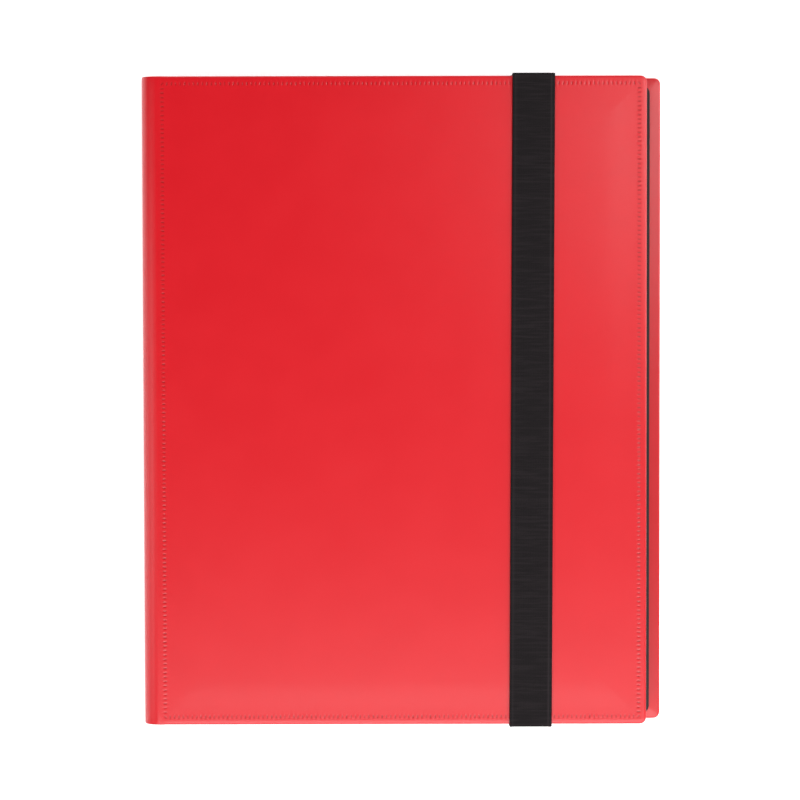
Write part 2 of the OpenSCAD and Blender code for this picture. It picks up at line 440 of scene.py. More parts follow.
def smoothstep(x: np.ndarray | float, low: float, high: float) -> np.ndarray:
    """A smooth step of x, 0 below low and 1 above high."""
    t = np.clip((np.asarray(x, float) - low) / (high - low), 0.0, 1.0)
    return t * t * (3 - 2 * t)


def added(name: str, data: bpy.types.ID) -> Piece:
    """Puts a mesh, a light or a camera into the scene as a new object."""
    made = bpy.data.objects.new(name, data)
    bpy.context.scene.collection.objects.link(made)
    return made


def shown(name: str, mesh: bpy.types.Mesh) -> Piece:
    """Puts a mesh into the scene as a smooth-shaded piece."""
    mesh.polygons.foreach_set("use_smooth", [True] * len(mesh.polygons))
    return added(name, mesh)


def piece_from(name: str, points: np.ndarray, faces: list[tuple[int, ...]]) -> Piece:
    """Makes a smooth-shaded piece from points in millimetres and faces of point numbers."""
    mesh = bpy.data.meshes.new(name)
    mesh.from_pydata((np.asarray(points, float) * MM).tolist(), [], faces)
    mesh.update()
    return shown(name, mesh)


def reshaped(piece: Piece, change: Callable[[np.ndarray], np.ndarray]) -> Piece:
    """Moves a piece's points by a function of their places in millimetres."""
    points = np.array([vertex.co for vertex in piece.data.vertices]) / MM
    piece.data.vertices.foreach_set("co", (change(points) * MM).ravel())
    piece.data.update()
    return piece


def upended(piece: Piece, level: float = 0.0) -> Piece:
    """Mirrors a piece about a height in millimetres, its faces still outwards."""
    reshaped(piece, lambda points: points * [1, 1, -1] + [0, 0, 2 * level])
    piece.data.flip_normals()
    return piece


def crisp(piece: Piece, degrees: float = 40.0) -> Piece:
    """Keeps edges sharper than an angle crisp under smooth shading."""
    piece.data.set_sharp_from_angle(angle=math.radians(degrees))
    return piece


def loft(name: str, rings: Sequence[np.ndarray]) -> Piece:
    """Skins a row of closed rings and caps both ends.

    Args:
        name: the piece's name.
        rings: arrays of the same number of points each.

    Returns:
        The closed piece, its doubles merged and its faces outwards.
    """
    count = len(rings[0])
    faces: list[tuple[int, ...]] = []
    for low in range(0, (len(rings) - 1) * count, count):
        for i in range(count):
            j = (i + 1) % count
            faces.append((low + i, low + j, low + count + j, low + count + i))
    faces.append(tuple(range(count))[::-1])
    faces.append(tuple(range((len(rings) - 1) * count, len(rings) * count)))
    made = piece_from(name, np.vstack(rings), faces)
    work = bmesh.new()
    work.from_mesh(made.data)
    bmesh.ops.remove_doubles(work, verts=work.verts, dist=DOUBLE_GAP)
    bmesh.ops.recalc_face_normals(work, faces=work.faces)
    work.to_mesh(made.data)
    work.free()
    return crisp(made)


def baked(piece: Piece) -> Piece:
    """Turns a piece's modifiers into plain mesh and removes them."""
    bpy.context.view_layer.update()
    graph = bpy.context.evaluated_depsgraph_get()
    mesh = bpy.data.meshes.new_from_object(piece.evaluated_get(graph))
    piece.modifiers.clear()
    piece.data = mesh
    return piece


def thickened(piece: Piece, thickness: float) -> Piece:
    """Gives an open sheet a thickness below its face, in millimetres."""
    solidify = piece.modifiers.new("thickness", "SOLIDIFY")
    solidify.thickness = thickness * MM
    solidify.offset = -1
    return baked(piece)


def joined(name: str, pieces: Sequence[Piece]) -> Piece:
    """Joins pieces into one, with shared corners merged."""
    work = bmesh.new()
    for piece in pieces:
        work.from_mesh(piece.data)
    bmesh.ops.remove_doubles(work, verts=work.verts, dist=DOUBLE_GAP)
    mesh = bpy.data.meshes.new(name)
    work.to_mesh(mesh)
    work.free()
    for piece in pieces:
        bpy.data.objects.remove(piece)
    return shown(name, mesh)


class GeometryTree(Graph):
    """A Geometry Nodes tree with named inputs."""

    KINDS = {float: "NodeSocketFloat", int: "NodeSocketInt", tuple: "NodeSocketVector",
             bpy.types.Material: "NodeSocketMaterial"}
    MERGE = 0.005 * MM

    def __init__(self, name: str, **inputs: float | int | tuple | bpy.types.Material) -> None:
        """Makes the tree.

        Args:
            name: the tree's name.
            inputs: each named input with its value, which also sets its type.
        """
        super().__init__(bpy.data.node_groups.new(name, "GeometryNodeTree"))
        face = self.tree.interface
        for way in ("INPUT", "OUTPUT"):
            face.new_socket("Geometry", in_out=way, socket_type="NodeSocketGeometry")
        self.given = inputs
        for key, given in inputs.items():
            kind = next(kind for kind in self.KINDS if isinstance(given, kind))
            face.new_socket(key, in_out="INPUT", socket_type=self.KINDS[kind])
        self.entry = self.tree.nodes.new("NodeGroupInput")

    def put(self, key: str) -> Value:
        """A named input."""
        return Value(self, self.entry.outputs[key])

    def position(self) -> tuple[Value, Value, Value]:
        """The three parts of a point's place."""
        return self.parts(self.out("GeometryNodeInputPosition"))

    def stored(self, geometry: Socket, name: str, value: Value,
               domain: str = "POINT") -> Socket:
        """Stores a number on the geometry under a name."""
        return self.out("GeometryNodeStoreNamedAttribute", {"data_type": "FLOAT", "domain": domain},
                        {"Geometry": geometry, "Name": name, "Value": value})

    def named(self, name: str) -> Value:
        """Reads a stored number."""
        return self.value("GeometryNodeInputNamedAttribute", {"data_type": "FLOAT"}, {"Name": name})

    def moved(self, geometry: Socket, offset: Socket) -> Socket:
        """Moves every point by an offset."""
        return self.out("GeometryNodeSetPosition", None, {"Geometry": geometry, "Offset": offset})

    def spread(self, cell: Socket, points: Socket,
               chances: dict[str, tuple[float, float]]) -> Socket:
        """Copies a cell to every point.

        Args:
            cell: the cell, whose own places are kept as "along" and "across".
            points: where the copies go.
            chances: numbers that differ between the copies, each with its lowest and highest.

        Returns:
            The copies as plain mesh.
        """
        along, across, _ = self.position()
        cell = self.stored(self.stored(cell, "along", along), "across", across)
        copies = self.out("GeometryNodeInstanceOnPoints", None, {"Points": points, "Instance": cell})
        for step, (name, (low, high)) in enumerate(chances.items()):
            chance = self.value("FunctionNodeRandomValue", {"data_type": "FLOAT"},
                                {2: low, 3: high, "Seed": self.put("Seed") + float(step)}, 1)
            copies = self.stored(copies, name, chance, "INSTANCE")
        return self.out("GeometryNodeRealizeInstances", None, {"Geometry": copies})

    def finish(self, geometry: Socket) -> None:
        """Ends the tree with a merge, smooth shading and the material."""
        for kind, inputs in (("GeometryNodeMergeByDistance", {"Distance": self.MERGE}),
                             ("GeometryNodeSetShadeSmooth", {}),
                             ("GeometryNodeSetMaterial", {"Material": self.put("Finish")})):
            geometry = self.out(kind, None, {"Geometry": geometry, **inputs})
        self.node("NodeGroupOutput", None, {0: geometry})

    def run(self, name: str, base: Piece | None = None) -> Piece:
        """Runs the tree and returns the result as a plain mesh piece.

        Args:
            name: the new piece's name.
            base: the piece that the tree starts from, if it uses one.

        Returns:
            The piece, with no modifier left.
        """
        if base is None:
            base = piece_from(name, np.zeros((1, 3)), [])
        modifier = base.modifiers.new("shape", "NODES")
        modifier.node_group = self.tree
        for item in self.tree.interface.items_tree:
            if item.in_out == "INPUT" and item.name in self.given:
                modifier[item.identifier] = self.given[item.name]
        return baked(base)


# --------------------------------------------------------------- the binder


@dataclass(frozen=True)
class Sizes:
    """The binder's own sizes, in millimetres. The rest comes from the frame."""

    fold_r: float = 7.5
    hinge_t: float = 0.8
    skin_t: float = 0.5
    board_t: float = 1.4
    turn_in: float = 7.5
    hinge_strip: float = 3.0
    corner_r: float = 3.0
    dip: float = 0.15
    edge_r: float = 0.8
    edge_share: float = 0.42
    seam_inset: float = 3.6
    seam_spine: float = 10.2
    seam_w: float = 2.4
    tick_pitch: float = 2.08

    @staticmethod
    def corner(node: str, high: bool) -> np.ndarray:
        """A node's lowest or highest corner at rest, in millimetres."""
        return np.array(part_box(node)[int(high)]) / MM

    @property
    def spine_x(self) -> float:
        """The spine's outer face."""
        return float(self.corner("spine_skin", False)[0])

    @property
    def half_h(self) -> float:
        """Half the covers' height."""
        return float(self.corner("back_skin", True)[1])

    @property
    def thick(self) -> float:
        """The closed binder's thickness."""
        return float(self.corner("front_skin", True)[2])

    @property
    def bend_x(self) -> float:
        """Where a bend ends and a cover begins."""
        return self.spine_x + self.fold_r

    @property
    def board_x(self) -> float:
        """Where a cover's board begins."""
        return self.bend_x + self.hinge_strip

    @property
    def cover_t(self) -> float:
        """A cover's thickness."""
        return float(self.corner("back_lining", True)[2])

    def onto_board(self, x: np.ndarray) -> np.ndarray:
        """The step from the hinge strip, 0, onto the board, 1."""
        return smoothstep(x, self.board_x - 0.9, self.board_x + 0.3)

    def thickness(self, x: np.ndarray) -> np.ndarray:
        """A cover's thickness across its width, thin at the hinge strip."""
        return self.hinge_t + (self.cover_t - self.hinge_t) * self.onto_board(x)

    def inner_face(self, x: np.ndarray) -> np.ndarray:
        """The depth of the face that a cover's turn-ins are folded onto."""
        return self.skin_t + self.board_t * self.onto_board(x)

    def edge_round(self, room: np.ndarray | float) -> list[tuple[float, np.ndarray]]:
        """The rounded outer edge as insets and depths below the face.

        Args:
            room: the thickness that the edge is rounded in.

        Returns:
            Pairs from the wall to the face.
        """
        depth = np.minimum(self.edge_r, self.edge_share * np.asarray(room))
        angles = [math.radians(a) for a in range(90, -1, -18)]
        return [(self.edge_r * (1 - math.sin(a)), depth * (1 - math.cos(a))) for a in angles]


class Side(Enum):
    """The two covers."""

    FRONT = "front"
    BACK = "back"

    @property
    def body(self) -> str:
        """The body that this cover is."""
        return f"{self.value}_cover"

    def height(self, sizes: Sizes, depth: np.ndarray | float) -> np.ndarray:
        """The height of a point that lies depth below the cover's outer face."""
        depth = np.asarray(depth, float)
        return sizes.thick - depth if self is Side.FRONT else depth


def outline(x_lo: float, x_hi: float, half: float, radius: float) -> np.ndarray:
    """A rectangle with its two fore-edge corners rounded, as points in order.

    Args:
        x_lo: the side at the spine.
        x_hi: the side at the fore-edge.
        half: half its height.
        radius: the radius of the two corners.

    Returns:
        The points, always the same number of them, closer together near the spine.
    """
    near = np.array([0.0, 0.5, 1.2, 1.8, 2.3, 2.8, 3.4, 4.4]) * min(1.0, (x_hi - x_lo) / 60)
    span = x_hi - radius - x_lo
    along = np.concatenate([near, near[-1] + (span - near[-1]) * np.linspace(0, 1, 42)[1:]])
    across = np.linspace(-1, 1, 60)
    turns = np.radians(np.linspace(0, 90, 8))[1:-1]
    tail = np.stack([x_lo + along, np.full_like(along, -half)], 1)
    tail_turn = np.stack([x_hi - radius + radius * np.sin(turns),
                          -half + radius * (1 - np.cos(turns))], 1)
    fore = np.stack([np.full_like(across, x_hi), across * (half - radius)], 1)
    spine = np.stack([np.full_like(across, x_lo), -across * half], 1)[1:-1]
    head = [1, -1]
    return np.vstack([tail, tail_turn, fore, tail_turn[::-1] * head, tail[::-1] * head, spine])


@dataclass
class CoverLeather:
    """The skin of one cover: outside, edges and turn-ins, with its pressed seam."""

    side: Side
    sizes: Sizes
    x_hi: float
    overlap: float = 0.3
    lip: float = 0.4
    floor_depth: float = 0.47
    wall: float = 0.01
    least_r: float = 0.15
    panel_rise: float = 16.0
    wave: float = 0.02
    panel_insets: tuple[float, ...] = (0, 0.8, 2, 4, 6, 8, 10, 12, 14, 16, 24, 36, 50, 70, 92)

    def ring(self, inset: float, depth: Callable[[np.ndarray], np.ndarray] | np.ndarray | float,
             x_lo: float | None = None) -> np.ndarray:
        """One closed ring of the skin.

        Args:
            inset: the distance inside the cover's outline.
            depth: the distance below the outer face, also point by point or as a function of x.
            x_lo: the ring's side at the spine, where it isn't the skin's own.

        Returns:
            Its points in millimetres.
        """
        start = self.sizes.bend_x + self.overlap if x_lo is None else x_lo
        flat = outline(start, self.x_hi - inset, self.sizes.half_h - inset,
                       max(self.sizes.corner_r - inset, self.least_r))
        below = depth(flat[:, 0]) if callable(depth) else np.broadcast_to(depth, len(flat))
        return np.column_stack([flat, self.side.height(self.sizes, below)])

    def surface_wave(self, points: np.ndarray) -> np.ndarray:
        """A slow, shallow wave of the padded face, in millimetres of depth."""
        x, y = points[:, 0], points[:, 1]
        slow = np.sin(x / 31 + 0.8 * np.sin(y / 47)) + np.sin(y / 39 + 1.3 + 0.6 * np.sin(x / 53))
        return self.wave * (1 + slow / 2)

    def rings(self) -> list[np.ndarray]:
        """All the rings, from the inside of the cover round to the middle of its face."""
        s = self.sizes
        rows = [self.ring(s.turn_in, s.inner_face), self.ring(s.turn_in, s.thickness),
                self.ring(s.turn_in - self.lip, s.thickness)]
        room = s.thickness(outline(s.bend_x + self.overlap, self.x_hi, s.half_h, s.corner_r)[:, 0])
        rounding = s.edge_round(room)
        rows += [self.ring(inset, room - depth) for inset, depth in rounding[::-1]]
        rows += [self.ring(inset, s.dip + depth) for inset, depth in rounding]
        half, spine_line = s.seam_w / 2, s.spine_x + s.seam_spine
        outer, inner = s.seam_inset - half, s.seam_inset + half
        rows += [self.ring(outer, s.dip, spine_line - half),
                 self.ring(outer + self.wall, self.floor_depth, spine_line - half + self.wall),
                 self.ring(inner - self.wall, self.floor_depth, spine_line + half - self.wall)]
        for extra in self.panel_insets:
            row = self.ring(inner + extra, s.dip, spine_line + half + extra)
            rise = smoothstep(extra, 0.0, self.panel_rise)
            row[:, 2] = self.side.height(s, s.dip * (1 - rise) + self.surface_wave(row) * rise)
            rows.append(row)
        return rows

    def build(self) -> None:
        """Makes the skin and its seam, and puts them on their body."""
        skin = loft(f"{self.side.value}_cover_leather", self.rings())
        Slot.COVER_LEATHER.dress(skin)
        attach(skin, self.side.body)
        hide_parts(f"{self.side.value}_skin")
        seam = PressedSeam(self.side, self.sizes, self.x_hi).build()
        LOG.info("%s and %s", skin.name, seam.name)


@dataclass
class PressedSeam:
    """The line of pressed marks around a cover, one small cushion between every two marks."""

    side: Side
    sizes: Sizes
    x_hi: float
    mark_depth: float = 0.06
    cushion: float = 0.02
    mark_half: float = 0.72
    mark_width: float = 0.31
    corner_force: float = 0.8
    corner_cells: int = 9
    sheet: float = 0.06
    sharp: float = 75.0
    seed: int = 7

    def tree(self, start: tuple, end: tuple, count: int, seed: int) -> GeometryTree:
        """The tree for one straight run of marks along X.

        Args:
            start: the first mark, in metres.
            end: the last mark, in metres.
            count: the number of marks.
            seed: what the small differences between marks come from.

        Returns:
            The tree, ready to run.
        """
        tree = GeometryTree("pressed_marks", Start=start, End=end, Marks=count,
                            Width=self.sizes.seam_w * MM, Depth=self.mark_depth * MM,
                            Cushion=self.cushion * MM, Seed=seed,
                            Finish=Slot.COVER_LEATHER.value.material())
        ends = {"Start": tree.put("Start"), "End": tree.put("End")}
        reach = tree.value("ShaderNodeVectorMath", {"operation": "DISTANCE"},
                           dict(enumerate(ends.values())), "Value")
        pitch = reach / (tree.put("Marks") - 1.0)
        cell = tree.out("GeometryNodeMeshGrid", None, {
            "Size X": pitch, "Size Y": tree.put("Width"), "Vertices X": 13, "Vertices Y": 8})
        points = tree.out("GeometryNodeResampleCurve", None, {
            "Curve": tree.out("GeometryNodeCurvePrimitiveLine", None, ends),
            "Count": tree.put("Marks")})
        whole = tree.spread(cell, points, {"force": (0.65, 1.1), "lean": (-0.12, 0.12),
                                           "slip": (-0.08, 0.08)})
        u, v, force = tree.named("along") / MM, tree.named("across") / MM, tree.named("force")
        window = v.math("ABSOLUTE").smooth(self.mark_half + 0.22, self.mark_half - 0.12)
        offset = (u + tree.named("lean") * v + tree.named("slip")) / self.mark_width
        mark = (-(offset * offset)).math("EXPONENT") * window
        swell = (u * (math.pi * MM) / pitch).math("SINE")
        cushion = swell * swell * v.math("ABSOLUTE").smooth(1.0, 0.35)
        height = cushion * tree.put("Cushion") - mark * force * tree.put("Depth")
        # The marks' strength, which the leather also uses to paint shade into the grooves.
        whole = tree.stored(whole, "press", mark * force)
        tree.finish(tree.moved(whole, tree.vector(0.0, 0.0, height)))
        return tree

    def run(self, length: float, seed: int) -> Piece:
        """One run of marks along X, centred on the origin, length millimetres long."""
        count = max(2, round(length / self.sizes.tick_pitch))
        first = -length / 2 + length / count / 2
        tree = self.tree((first * MM, 0.0, 0.0), (-first * MM, 0.0, 0.0), count, seed)
        return tree.run(f"marks_{seed}")

    def corner_cell(self, name: str, diagonal: float) -> Piece:
        """The flat square where two runs meet, with one slanting mark."""
        half, count = self.sizes.seam_w / 2, self.corner_cells
        grid = np.linspace(-half, half, count)
        x, y = [part.ravel() for part in np.meshgrid(grid, grid)]
        line, away = (x + diagonal * y) / math.sqrt(2), (x - diagonal * y) / math.sqrt(2)
        mark = np.exp(-(line / self.mark_width) ** 2) * smoothstep(-np.abs(away), -1.0, -0.6)
        mark *= self.corner_force
        lows = [row * count + column for row in range(count - 1) for column in range(count - 1)]
        faces = [(low, low + 1, low + count + 1, low + count) for low in lows]
        cell = piece_from(name, np.column_stack([x, y, -mark * self.mark_depth]), faces)
        # The slanting mark's strength, which the leather also uses to paint shade into its groove.
        cell.data.attributes.new("press", "FLOAT", "POINT").data.foreach_set("value", mark)
        return cell

    def build(self) -> Piece:
        """Makes the four runs and the four corners, and puts them on their body."""
        s = self.sizes
        x0, x1 = s.spine_x + s.seam_spine, self.x_hi - s.seam_inset
        y1 = s.half_h - s.seam_inset
        middle, wide, tall = (x0 + x1) / 2, x1 - x0 - s.seam_w, 2 * y1 - s.seam_w
        runs = ((wide, middle, y1, False), (wide, middle, -y1, False),
                (tall, x0, 0.0, True), (tall, x1, 0.0, True))
        placed = [self.place(self.run(length, self.seed + 10 * step), x, y, upright)
                  for step, (length, x, y, upright) in enumerate(runs)]
        for step, (x, y) in enumerate(((x0, y1), (x0, -y1), (x1, y1), (x1, -y1))):
            slant = 1.0 if (x > middle) == (y > 0) else -1.0
            placed.append(self.place(self.corner_cell(f"corner_{step}", slant), x, y, False))
        seam = joined(f"{self.side.value}_pressed_seam", placed)
        crisp(thickened(seam, self.sheet), self.sharp)
        if self.side is Side.BACK:
            upended(seam)
        seam.data.transform(Matrix.Translation((0, 0, float(self.side.height(s, s.dip)) * MM)))
        Slot.COVER_LEATHER.dress(seam)
        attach(seam, self.side.body)
        return seam

    @staticmethod
    def place(piece: Piece, x: float, y: float, upright: bool) -> Piece:
        """Turns a run along Y if it is upright and moves it into place."""
        def moved(points: np.ndarray) -> np.ndarray:
            """The points in their new place."""
            if upright:
                points = np.column_stack([-points[:, 1], points[:, 0], points[:, 2]])
            return points + [x, y, 0.0]

        return reshaped(piece, moved)


@dataclass
class Bend:
    """The flexible bend between the spine and one cover: leather outside, lining inside."""

    side: Side
    sizes: Sizes
    overlap: float = 0.3
    steps: int = 28
    face_points: int = 60
    cloth_points: int = 40
    cloth_gap: float = 0.04

    def path(self) -> list[tuple[float, float, float, float]]:
        """Stations from the middle of the spine to the cover.

        Returns:
            For each station x, depth below the cover's outer face, and the outward direction.
        """
        s = self.sizes
        rows = [(s.spine_x, depth, -1.0, 0.0) for depth in np.linspace(s.thick / 2, s.fold_r, 5)[:-1]]
        for turn in np.radians(np.linspace(180, 90, self.steps)):
            rows.append((s.bend_x + s.fold_r * math.cos(turn), s.fold_r - s.fold_r * math.sin(turn),
                         math.cos(turn), math.sin(turn)))
        rows.append((s.bend_x + self.overlap, 0.0, 0.0, 1.0))
        return rows

    def sweep(self, name: str, section: Callable[[float], np.ndarray],
              path: Sequence[tuple[float, float, float, float]]) -> Piece:
        """Sweeps a closed section of (depth, y) along the path."""
        rings = []
        for i, (x, below, out_x, out_z) in enumerate(path):
            depth, y = section(i / (len(path) - 1)).T
            z = self.side.height(self.sizes, below + out_z * depth)
            rings.append(np.column_stack([x - out_x * depth, y, z]))
        return loft(name, rings)

    def leather_section(self, share: float) -> np.ndarray:
        """The leather's section: rounded ends, thicker where it is folded in."""
        s = self.sizes
        dip = s.dip * float(smoothstep(share, 0.45, 0.95))
        rounding = s.edge_round(s.hinge_t)
        out = [(dip + float(depth), s.half_h - inset) for inset, depth in rounding[::-1]]
        back = [(s.hinge_t - float(depth), s.half_h - inset) for inset, depth in rounding]
        fold = [(s.hinge_t, s.half_h - s.turn_in), (s.skin_t, s.half_h - s.turn_in - 0.05)]
        head = out + back + fold
        row = np.array(head + [(d, -y) for d, y in head[::-1]])
        face = np.linspace(-1, 1, self.face_points + 2)[1:-1] * (s.half_h - s.edge_r)
        return np.vstack([row, np.column_stack([np.full_like(face, dip), face])])

    def lining_section(self, share: float) -> np.ndarray:
        """The lining's section: a thin flat strip, the same all along."""
        s = self.sizes
        half = s.half_h - s.turn_in - 0.1
        rows = np.linspace(-half, half, self.cloth_points)
        outer = np.column_stack([np.full_like(rows, s.skin_t + self.cloth_gap), rows])
        inner = np.column_stack([np.full_like(rows, s.hinge_t), rows[::-1]])
        return np.vstack([outer, inner])

    def build(self) -> None:
        """Makes both strips and bends them between the spine and the cover."""
        s = self.sizes
        start = (s.spine_x * MM, 0.0, float(self.side.height(s, s.fold_r)) * MM)
        end = (s.bend_x * MM, 0.0, float(self.side.height(s, 0.0)) * MM)
        bodies, ends = ("spine", self.side.body), (start, end)
        if self.side is Side.BACK:
            bodies, ends = bodies[::-1], ends[::-1]
        leather = self.sweep(f"{self.side.value}_bend_leather", self.leather_section, self.path())
        Slot.COVER_LEATHER.dress(leather)
        flat = [(x, 0.0, 0.0, 1.0) for x in (s.board_x - 1.6, s.board_x - 0.7)]
        cloth = self.sweep(f"{self.side.value}_bend_lining", self.lining_section, self.path() + flat)
        Slot.LINING.dress(cloth)
        for piece in (leather, cloth):
            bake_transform(piece)
            LOG.info("%s bends between %s and %s", piece.name, *bodies)
        if self.side is Side.FRONT:
            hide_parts("spine_skin")
            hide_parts("spine_lining")


@dataclass
class CoverLining:
    """The lining glued on the inside of one cover, flush inside the turn-ins."""

    side: Side
    sizes: Sizes
    x_hi: float
    ease: float = 0.06
    lap: float = 1.2
    corner_r: float = 0.3
    rows: tuple[tuple[float, float], ...] = (
        (0.0, -0.5), (0.0, -0.08), (0.08, -0.02), (0.6, 0.0), (3.0, 0.0), (20.0, 0.0), (60.0, 0.0))

    def build(self) -> None:
        """Makes the lining, row by row of insets and heights, and puts it on its body."""
        s, rings = self.sizes, []
        for extra, above in self.rows:
            inset = s.turn_in + self.ease + extra
            flat = outline(s.board_x - self.lap + extra, self.x_hi - inset,
                           s.half_h - inset, self.corner_r)
            x = flat[:, 0]
            depth = s.thickness(x) + above * smoothstep(x, s.board_x - self.lap, s.board_x)
            rings.append(np.column_stack([flat, self.side.height(s, depth)]))
        cloth = loft(f"{self.side.value}_cover_lining", rings)
        Slot.LINING.dress(cloth)
        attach(cloth, self.side.body)
        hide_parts(f"{self.side.value}_lining")
        LOG.info("%s", cloth.name)


@dataclass
class Strap:
    """The wide elastic over the front cover and down both edges."""

    sizes: Sizes
    gap: float = 0.1
    rib: float = 1.05
    rib_depth: float = 0.1
    selvedge: float = 1.7
    groove: float = 0.22
    slant: float = 0.8
    edge_r: float = 0.42
    station: float = 0.25
    section_points: int = 72
    keep: float = 0.53
    web_height: float = 4.2
    web_inset: float = 0.3
    web_outset: float = 1.1
    web_foot: float = 0.2
    web_rib: float = 0.05
    web_ribs: int = 10
    web_stations: int = 40

    def tree(self, width: float, thick: float) -> GeometryTree:
        """The tree that turns a path into a ribbed band.

        Args:
            width: the band's width.
            thick: its thickness.

        Returns:
            The tree, ready to run on the path.
        """
        tree = GeometryTree("ribbed_band", Width=width * MM, Thickness=thick * MM, Rib=self.rib * MM,
                            Depth=self.rib_depth * MM, Selvedge=self.selvedge * MM,
                            Station=self.station * MM, Finish=Slot.ELASTIC.value.material())
        path = tree.out("GeometryNodeMeshToCurve", None, {"Mesh": tree.entry.outputs["Geometry"]})
        path = tree.out("GeometryNodeFilletCurve", {"mode": "POLY"},
                        {"Curve": path, "Radius": tree.put("Thickness") * 0.6, "Count": 5})
        path = tree.out("GeometryNodeResampleCurve", {"mode": "LENGTH"},
                        {"Curve": path, "Length": tree.put("Station")})
        path = tree.stored(path, "run", tree.value("GeometryNodeSplineParameter", output="Length"))
        shape = tree.out("GeometryNodeCurvePrimitiveQuadrilateral", None,
                         {"Width": tree.put("Width"), "Height": tree.put("Thickness")})
        shape = tree.out("GeometryNodeFilletCurve", {"mode": "POLY"},
                         {"Curve": shape, "Radius": self.edge_r * MM, "Count": 4})
        shape = tree.out("GeometryNodeResampleCurve", None,
                         {"Curve": shape, "Count": self.section_points})
        shape = tree.stored(shape, "side", tree.position()[0])
        band = tree.out("GeometryNodeCurveToMesh", None,
                        {"Curve": path, "Profile Curve": shape, "Fill Caps": True})
        edge = (tree.put("Width") / 2.0 - tree.named("side").math("ABSOLUTE")) / MM
        inside = edge.smooth(self.selvedge - 0.1, self.selvedge + 0.35)
        groove = (-(((edge - self.selvedge) / self.groove) ** 2.0)).math("EXPONENT")
        ribs, fine = ((tree.named("run") * (turns * math.pi) / tree.put("Rib")).math("SINE") * 0.5 + 0.5
                      for turns in (2, 4))
        sunk = ribs * inside + groove * 0.8 + fine * (1.0 - inside) * 0.3
        band = tree.stored(band, "selvedge", groove)
        offset = tree.out("ShaderNodeVectorMath", {"operation": "SCALE"}, {
            0: tree.out("GeometryNodeInputNormal"), "Scale": -(sunk * tree.put("Depth"))})
        tree.finish(tree.moved(band, offset))
        return tree

    def build(self) -> None:
        """Makes the strap, and the two stretches that join it to its fixed ends."""
        low, high = Sizes.corner("elastic_strap", False), Sizes.corner("elastic_strap", True)
        anchor = Sizes.corner("strap_anchor_top", True)
        thick = float(high[2]) - self.sizes.thick - self.gap
        width, middle = float(high[0] - low[0]), float(low[0] + high[0]) / 2
        y, top, foot = float(high[1]) - thick / 2, float(high[2]) - thick / 2, float(low[2])
        route = [(middle, -y, foot), (middle, -y, top), (middle, y, top), (middle, y, foot)]
        base = added("elastic_band", bpy.data.meshes.new("elastic_band"))
        base.data.from_pydata([[c * MM for c in p] for p in route], [(0, 1), (1, 2), (2, 3)], [])
        band = self.tree(width, thick).run("elastic_band", base)

        def slanted(points: np.ndarray) -> np.ndarray:
            """The points with the strap's small slant across the cover."""
            up = np.clip((points[:, 2] - foot) / (top - foot), 0, 1)
            points[:, 0] += self.slant * points[:, 1] / y * smoothstep(up, 0.0, 0.25)
            return points

        reshaped(band, slanted)
        Slot.ELASTIC.dress(band)
        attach(band, "strap")
        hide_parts("elastic_strap")
        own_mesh(band)
        for end in (1, -1):
            self.web(end, float(low[0]), float(high[0]), float(anchor[2]))
        LOG.info("%s and its two stretches", band.name)

    def web(self, end: int, x0: float, x1: float, z0: float) -> None:
        """The stretch of elastic at one end of the strap, which on the real binder follows the strap
        sideways when it is pulled off.

        Args:
            end: 1 at the head, -1 at the tail.
            x0: its side towards the spine.
            x1: its side towards the fore-edge.
            z0: its foot. At rest it lies inside the strap's leg.
        """
        y_in, y_out = self.sizes.half_h + self.web_inset, self.sizes.half_h + self.web_outset
        foot, top = z0 + self.web_foot, z0 + self.web_height
        rows = [(y_in, foot), (y_out, foot)]
        rows += [(y_out - self.web_rib * (i % 2), foot + (top - foot) * i / self.web_ribs)
                 for i in range(1, self.web_ribs + 1)]
        rows += [(y_in, top)]
        rings = [np.array([(x, end * y, z) for y, z in rows])
                 for x in np.linspace(x0 + self.web_inset, x1 - self.web_inset, self.web_stations)]
        piece = loft("stretch_head" if end > 0 else "stretch_tail", rings)
        Slot.ELASTIC.dress(piece)
        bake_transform(piece)


